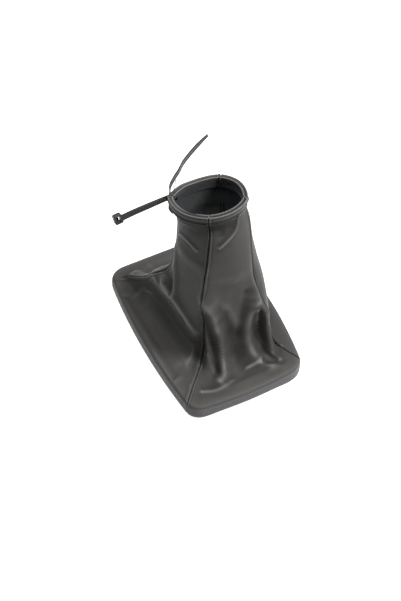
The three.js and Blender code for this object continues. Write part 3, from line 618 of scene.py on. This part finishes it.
def leather_colour(tree, place, rubbed_and_painted_light):
    """Clouded leather, lighter on the frame's walls as stretched leather with painted light, with
    painted shade in creases, and lighter on crests as rubbed leather with painted highlights.
    """
    colour = Vector(settings().colours.leather)
    cloud = add_node(tree, "ShaderNodeTexNoise", Scale=38, Detail=3)
    tree.links.new(place, cloud.inputs["Vector"])
    tint = colour_between(tree, colour * 0.85, colour * 1.15, cloud.outputs["Fac"])
    # Painted shade in creases; crests lighter as rubbed leather and painted highlights
    shade = add_node(tree, "ShaderNodeValToRGB")
    shade.color_ramp.elements[0].color = (CREASE_PAINTED_SHADE, CREASE_PAINTED_SHADE, CREASE_PAINTED_SHADE, 1)
    shade.color_ramp.elements[1].color = (CREST_RUB_AND_HIGHLIGHT, CREST_RUB_AND_HIGHLIGHT, CREST_RUB_AND_HIGHLIGHT, 1)
    shade.color_ramp.elements.new(0.5).color = (1, 1, 1, 1)
    tree.links.new(rubbed_and_painted_light, shade.inputs["Fac"])
    height = add_node(tree, "ShaderNodeSeparateXYZ")
    tree.links.new(place, height.inputs["Vector"])
    # Lighter on the frame's walls: partly stretched leather, partly painted light
    stretch_and_light = add_node(tree, "ShaderNodeMapRange", interpolation_type="SMOOTHSTEP")
    stretch_and_light.inputs["From Min"].default_value = STRETCH_AND_LIGHT_FROM
    stretch_and_light.inputs["From Max"].default_value = STRETCH_AND_LIGHT_TO
    tree.links.new(height.outputs["Z"], stretch_and_light.inputs["Value"])
    stretch_and_light_colour = add_node(tree, "ShaderNodeMix", data_type="RGBA")
    stretch_and_light_colour.inputs["B"].default_value = (*(Vector(STRETCH_AND_LIGHT_TINT) * colour.x), 1)
    tree.links.new(tint, stretch_and_light_colour.inputs["A"])
    tree.links.new(stretch_and_light.outputs["Result"], stretch_and_light_colour.inputs["Factor"])
    both = add_node(tree, "ShaderNodeMix", data_type="RGBA", blend_type="MULTIPLY")
    both.inputs["Factor"].default_value = 1
    tree.links.new(stretch_and_light_colour.outputs["Result"], both.inputs["A"])
    tree.links.new(shade.outputs["Color"], both.inputs["B"])
    return both.outputs["Result"]


def leather_material():
    """Fine grained black leather, glossier on its crests."""
    material, tree, shader = node_tree("grained_leather")
    place = add_node(tree, "ShaderNodeTexCoord").outputs["Object"]
    # The crest attribute holds painted light: shade in creases and under the hem, highlights on crests
    # and the hem's edges, and rubbing on the crests
    rub_and_painted_light = add_node(tree, "ShaderNodeAttribute", attribute_name="crest")
    rubbed_and_painted_light = add_node(tree, "ShaderNodeMapRange")
    rubbed_and_painted_light.inputs["From Min"].default_value = -1
    tree.links.new(rub_and_painted_light.outputs["Fac"], rubbed_and_painted_light.inputs["Value"])
    gloss = add_node(tree, "ShaderNodeMapRange")
    gloss.inputs["To Min"].default_value = 0.62
    gloss.inputs["To Max"].default_value = 0.36
    tree.links.new(rubbed_and_painted_light.outputs["Result"], gloss.inputs["Value"])
    colour = leather_colour(tree, place, rubbed_and_painted_light.outputs["Result"])
    tree.links.new(leather_grain(tree, place), shader.inputs["Normal"])
    tree.links.new(colour, shader.inputs["Base Color"])
    tree.links.new(gloss.outputs["Result"], shader.inputs["Roughness"])
    shader.inputs["Specular IOR Level"].default_value = 0.11
    return material


def inside_and_leaf_shade_material():
    """Bare inside of the leather: black and smooth, with a cool sheen, also laid on the lower inner leaf
    of the hem as painted shade.
    """
    material, tree, shader = node_tree("leather_inside_and_leaf_shade")
    place = add_node(tree, "ShaderNodeTexCoord").outputs["Object"]
    nap = add_node(tree, "ShaderNodeTexNoise", Scale=420, Detail=4)
    tree.links.new(place, nap.inputs["Vector"])
    top = bump(tree, nap.outputs["Fac"], 0.25, 0.3 * MM)
    tree.links.new(top.outputs["Normal"], shader.inputs["Normal"])
    shade = colour_between(tree, (0.018, 0.017, 0.0165), (0.036, 0.036, 0.036), nap.outputs["Fac"])
    tree.links.new(shade, shader.inputs["Base Color"])
    shader.inputs["Roughness"].default_value = 0.55
    shader.inputs["Specular IOR Level"].default_value = 0.25
    shader.inputs["Sheen Weight"].default_value = 0.1
    shader.inputs["Sheen Tint"].default_value = (0.45, 0.7, 0.9, 1)
    return material


def thin_inside(piece):
    """Thins the faces inside, so that the panel stays light."""
    mesh = piece.data
    points, normals = coordinates(mesh), normals_of(mesh)
    inside = np.flatnonzero((outward(points) * normals).sum(1) < -0.3)
    group = piece.vertex_groups.new(name="inside")
    group.add(inside.tolist(), 1, "REPLACE")
    thin = piece.modifiers.new("thin", "DECIMATE")
    thin.vertex_group = group.name
    thin.ratio = min(1, MOST_TRIANGLES / (2 * len(mesh.polygons)))


def line_inside(mesh, drop):
    """Gives the second material to the faces inside the sleeve, under the hem's inner leaf and on the
    leaf's lower part, as painted shade there.
    """
    faces = len(mesh.polygons)
    centres, normals = np.empty(faces * 3, np.float32), np.empty(faces * 3, np.float32)
    mesh.polygons.foreach_get("center", centres)
    mesh.polygons.foreach_get("normal", normals)
    centres, normals = centres.reshape(-1, 3).astype(float), normals.reshape(-1, 3)
    inwards = (outward(centres) * normals).sum(1) < -0.2
    first = np.array([polygon.vertices[0] for polygon in mesh.polygons])
    under = drop[first] > LINED_AND_SHADED_FROM
    above = centres[:, 2] > BAND_TOP - LEATHER
    mesh.polygons.foreach_set("material_index", (inwards & under & above).astype(np.int32))


def moulded_material(name, colour, roughness, scale, depth, shine=0.5):
    """Moulded plastic with a fine even texture."""
    material, tree, shader = node_tree(name)
    place = add_node(tree, "ShaderNodeTexCoord").outputs["Object"]
    speckle = add_node(tree, "ShaderNodeTexNoise", Scale=scale, Detail=3)
    tree.links.new(place, speckle.inputs["Vector"])
    top = bump(tree, speckle.outputs["Fac"], 0.3, depth)
    tree.links.new(top.outputs["Normal"], shader.inputs["Normal"])
    colour = Vector(colour)
    shade = colour_between(tree, colour * 0.75, colour * 1.3, speckle.outputs["Fac"])
    tree.links.new(shade, shader.inputs["Base Color"])
    shader.inputs["Roughness"].default_value = roughness
    shader.inputs["Specular IOR Level"].default_value = shine
    return material


class GAITER_OT_leather(bpy.types.Operator):
    """Four sewn leather panels with their folds"""

    bl_idname = "gaiter.leather"
    bl_label = "Leather Panels"

    def execute(self, context):
        material, inside = leather_material(), inside_and_leaf_shade_material()
        depsgraph = context.evaluated_depsgraph_get()
        trees = {name: BVHTree.FromObject(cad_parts[name], depsgraph) for name in PANELS}
        meshes = {name: smooth_copy(panel_cage(name, trees), settings().sizes.levels) for name in PANELS}
        fine = {name: tree_of(mesh) for name, mesh in meshes.items()}
        for name, mesh in meshes.items():
            points = shut_seams(mesh, [fine[other] for other in neighbours(name)])
            if name == SOFT_PANEL:
                points = softened(mesh, points)
            ways = outward(points)
            free = smoothstep(BAND_TOP - FOLDS_END[0], BAND_TOP - FOLDS_END[1], points[:, 2])
            seams = seam_lift(values_of(mesh, "lap"), values_of(mesh, "butt"))
            lift = fold_lift(points, ways) * free + seams * smoothstep(0, SEAMS_END, points[:, 2])
            store(mesh, points + ways * lift[:, None])
            points, normals = coordinates(mesh), normals_of(mesh)
            drop, painted_light_marks = shape_hem(points, normals, name, values_of(mesh, "butt"))
            store(mesh, points)
            # Painted shade in creases and under the hem, painted highlights on crests and the hem's
            # edges, and rubbing on the crests
            rub_and_painted_light = mesh.attributes.new("crest", "FLOAT", "POINT")
            painted_light_marks = np.clip(painted_light_marks + crests(mesh, points, normals_of(mesh)), -1, 1)
            rub_and_painted_light.data.foreach_set("value", painted_light_marks.astype(np.float32))
            mesh.shade_smooth()
            piece = linked(name + "_leather", mesh, material, "leather")
            mesh.materials.append(inside)
            line_inside(mesh, drop)
            thin_inside(piece)
            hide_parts(name)
        return {"FINISHED"}


def leather_tree():
    """One tree of all the leather."""
    joined = bmesh.new()
    for name in PANELS:
        joined.from_mesh(bpy.data.objects[name + "_leather"].data)
    tree = BVHTree.FromBMesh(joined)
    joined.free()
    return tree


class GAITER_OT_stitches(bpy.types.Operator):
    """The row of stitches that closes the hem of the collar"""

    bl_idname = "gaiter.stitches"
    bl_label = "Hem Stitches"

    def execute(self, context):
        sizes = settings().sizes
        tree = leather_tree()
        points = np.vstack([coordinates(bpy.data.objects[name + "_leather"].data) for name in PANELS])
        hem = points[points[:, 2] > points[:, 2].max() - HEM_HEIGHT]
        centre = (hem.max(0) + hem.min(0)) / 2
        angles = np.arctan2(hem[:, 1] - centre[1], hem[:, 0] - centre[0])
        line = []
        for angle in np.linspace(-math.pi, math.pi, HEM_RAYS, endpoint=False):
            near = np.abs(np.angle(np.exp(1j * (angles - angle)))) < HEM_RAY_WIDTH
            if not near.any():
                continue
            top = hem[near][:, 2].max()
            way = Vector((math.cos(angle), math.sin(angle), 0))
            start = Vector((centre[0], centre[1], top - sizes.stitch_drop)) + way * HEM_RAY_START
            spot = tree.ray_cast(start, -way)[0]
            if spot:
                line.append(spot)
        ring = line + line[:1]
        lengths = np.cumsum([0] + [(b - a).length for a, b in zip(line, ring[1:])])
        count = int(lengths[-1] / sizes.stitch_pitch)
        half = (STITCH_SHARE * sizes.stitch_pitch / 2, sizes.thread / 2, sizes.thread / 2, 1)
        thread = bmesh.new()
        for i in range(count):
            place = lengths[-1] * i / count
            j = int(np.searchsorted(lengths, place, "right")) - 1
            along = (ring[j + 1] - ring[j]).normalized()
            turn = along.to_track_quat("X", "Z").to_matrix().to_4x4()
            bmesh.ops.create_uvsphere(
                thread, u_segments=8, v_segments=6, radius=1,
                matrix=Matrix.Translation(ring[j]) @ turn @ Matrix.Diagonal(half))
        mesh = bpy.data.meshes.new("hem_stitches")
        thread.to_mesh(mesh)
        thread.free()
        mesh.shade_smooth()
        material = moulded_material("sewing_thread", STITCH_COLOUR, 0.7, 4000, 0.1 * MM)
        linked("hem_stitches", mesh, material, "leather")
        return {"FINISHED"}


class GAITER_OT_loose_thread(bpy.types.Operator):
    """The cut end of the hem's thread, which stands up beside the tie"""

    bl_idname = "gaiter.loose_thread"
    bl_label = "Loose Thread"

    def execute(self, context):
        points = coordinates(bpy.data.objects[END_PANEL + "_leather"].data)
        drop, out, ways = collar_places(points)
        turn = np.arctan2(ways[:, 1], ways[:, 0])
        inner = np.flatnonzero((drop < ROOT_DROP) & (out < -ROOT_INSIDE))
        root = inner[np.argmin(np.abs(turn[inner] - turn[inner].max() + THREAD_BACK))]
        start = Vector(points[root])
        curve = bpy.data.curves.new("loose_thread", "CURVE")
        curve.dimensions = "3D"
        curve.bevel_depth = settings().sizes.thread / 2
        curve.bevel_resolution = 2
        curve.use_fill_caps = True
        spline = curve.splines.new("POLY")
        spline.points.add(len(THREAD_END) - 1)
        for point, step in zip(spline.points, THREAD_END):
            point.co = (*(start + Vector(step) * MM), 1)
        holder = bpy.data.objects.new("loose_thread_curve", curve)
        context.scene.collection.objects.link(holder)
        context.view_layer.update()
        mesh = bpy.data.meshes.new_from_object(holder.evaluated_get(context.evaluated_depsgraph_get()))
        bpy.data.objects.remove(holder)
        mesh.shade_smooth()
        material = moulded_material("loose_thread", THREAD_COLOUR, 0.6, 4000, 0.1 * MM)
        linked("loose_thread", mesh, material, "leather")
        return {"FINISHED"}


class GAITER_OT_frame(bpy.types.Operator):
    """Finish of the moulded frame"""

    bl_idname = "gaiter.frame"
    bl_label = "Frame"

    def execute(self, context):
        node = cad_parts["frame"]
        material = moulded_material("frame_plastic", settings().colours.plastic, 0.6, 900, 0.1 * MM)
        node.data.materials.clear()
        node.data.materials.append(material)
        return {"FINISHED"}


class GAITER_OT_tie(bpy.types.Operator):
    """Finish of the cable tie"""

    bl_idname = "gaiter.tie"
    bl_label = "Cable Tie"

    def execute(self, context):
        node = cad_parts["cable_tie"]
        material = moulded_material(
            "tie_nylon", settings().colours.nylon, 0.34, 1500, 0.05 * MM, shine=0.28)
        node.data.materials.clear()
        node.data.materials.append(material)
        return {"FINISHED"}


def area_light(name, place, size, power):
    """A round lamp that faces the middle of the gaiter."""
    light = bpy.data.lights.new(name, "AREA")
    light.shape = "DISK"
    light.size = size
    light.energy = power
    lamp = bpy.data.objects.new(name, light)
    lamp.location = place
    lamp.rotation_euler = (LAMPS_FACE - Vector(place)).to_track_quat("-Z", "Y").to_euler()
    bpy.context.scene.collection.objects.link(lamp)


def seen_directly(tree):
    """1 for a ray from the camera, off a glossy surface or through a clear one."""
    path = add_node(tree, "ShaderNodeLightPath")
    total = path.outputs["Is Camera Ray"]
    for kind in ("Is Glossy Ray", "Is Transmission Ray"):
        either = add_node(tree, "ShaderNodeMath", operation="MAXIMUM")
        tree.links.new(total, either.inputs[0])
        tree.links.new(path.outputs[kind], either.inputs[1])
        total = either.outputs["Value"]
    return total


def studio_world():
    """Even light, which the camera and glossy surfaces see as plain white."""
    world = bpy.data.worlds.new("studio")
    world.use_nodes = True
    tree = world.node_tree
    plain = tree.nodes["Background"]
    plain.inputs["Color"].default_value = (1, 1, 1, 1)
    plain.inputs["Strength"].default_value = EVEN_LIGHT
    white = add_node(tree, "ShaderNodeBackground", Color=(1, 1, 1, 1), Strength=1)
    choose = add_node(tree, "ShaderNodeMixShader")
    tree.links.new(seen_directly(tree), choose.inputs["Fac"])
    tree.links.new(plain.outputs["Background"], choose.inputs[1])
    tree.links.new(white.outputs["Background"], choose.inputs[2])
    tree.links.new(choose.outputs["Shader"], tree.nodes["World Output"].inputs["Surface"])
    bpy.context.scene.world = world


def floor_material():
    """Pale matt floor, which the camera and glossy surfaces see with a glow of its own."""
    material, tree, shader = node_tree("pale_floor")
    shader.inputs["Base Color"].default_value = (*settings().colours.floor, 1)
    shader.inputs["Roughness"].default_value = 0.9
    shader.inputs["Specular IOR Level"].default_value = 0
    glow = add_node(tree, "ShaderNodeEmission", Strength=FLOOR_GLOW)
    total = add_node(tree, "ShaderNodeAddShader")
    seen = add_node(tree, "ShaderNodeMixShader")
    tree.links.new(seen_directly(tree), seen.inputs["Fac"])
    tree.links.new(shader.outputs["BSDF"], seen.inputs[1])
    tree.links.new(shader.outputs["BSDF"], total.inputs[0])
    tree.links.new(glow.outputs["Emission"], total.inputs[1])
    tree.links.new(total.outputs["Shader"], seen.inputs[2])
    tree.links.new(seen.outputs["Shader"], tree.nodes["Material Output"].inputs["Surface"])
    return material


class GAITER_OT_stage(bpy.types.Operator):
    """Camera, lights and floor"""

    bl_idname = "gaiter.stage"
    bl_label = "Studio"

    def execute(self, context):
        level = math.cos(CAMERA_ELEVATION)
        back = Vector((
            math.sin(CAMERA_AZIMUTH) * level,
            -math.cos(CAMERA_AZIMUTH) * level,
            math.sin(CAMERA_ELEVATION)))
        camera = bpy.data.objects.new("camera", bpy.data.cameras.new("camera"))
        camera.data.sensor_fit = "VERTICAL"
        camera.data.sensor_height = CAMERA_SENSOR
        camera.data.lens = CAMERA_LENS
        camera.location = FRAME_CENTRE + CAMERA_TARGET + back * CAMERA_DISTANCE
        camera.rotation_euler = back.to_track_quat("Z", "Y").to_euler()
        context.scene.collection.objects.link(camera)
        context.scene.camera = camera
        area_light("key", (0.85, -0.55, 1.1), 0.45, 35)
        area_light("top", (-0.15, 0.2, 1.45), 0.7, 18)
        floor = bmesh.new()
        bmesh.ops.create_grid(floor, x_segments=1, y_segments=1, size=6)
        mesh = bpy.data.meshes.new("floor")
        floor.to_mesh(mesh)
        floor.free()
        linked("floor", mesh, floor_material(), None)
        studio_world()
        context.scene.view_settings.view_transform = "Standard"
        return {"FINISHED"}


class GAITER_PT_panel(bpy.types.Panel):
    """Sizes, colours and pieces of the gaiter"""

    bl_idname = "GAITER_PT_panel"
    bl_label = "Gear Lever Gaiter"
    bl_space_type = "VIEW_3D"
    bl_region_type = "UI"
    bl_category = "Gaiter"

    def draw(self, context):
        group = context.scene.gaiter
        for part in (group.sizes, group.colours):
            for name in part.__annotations__:
                self.layout.prop(part, name)
        for operator in OPERATORS:
            self.layout.operator(operator.bl_idname)


OPERATORS = (
    GAITER_OT_stage,
    GAITER_OT_leather,
    GAITER_OT_stitches,
    GAITER_OT_loose_thread,
    GAITER_OT_frame,
    GAITER_OT_tie,
)
CLASSES = (GaiterSizes, GaiterColours, GaiterSettings, *OPERATORS, GAITER_PT_panel)


def register():
    for cls in CLASSES:
        bpy.utils.register_class(cls)
    bpy.types.Scene.gaiter = PointerProperty(type=GaiterSettings)


def unregister():
    del bpy.types.Scene.gaiter
    for cls in reversed(CLASSES):
        bpy.utils.unregister_class(cls)


def main():
    register()
    bpy.ops.gaiter.stage()
    bpy.ops.gaiter.leather()
    bpy.ops.gaiter.stitches()
    bpy.ops.gaiter.loose_thread()
    bpy.ops.gaiter.frame()
    bpy.ops.gaiter.tie()


if __name__ == "__main__":
    main()
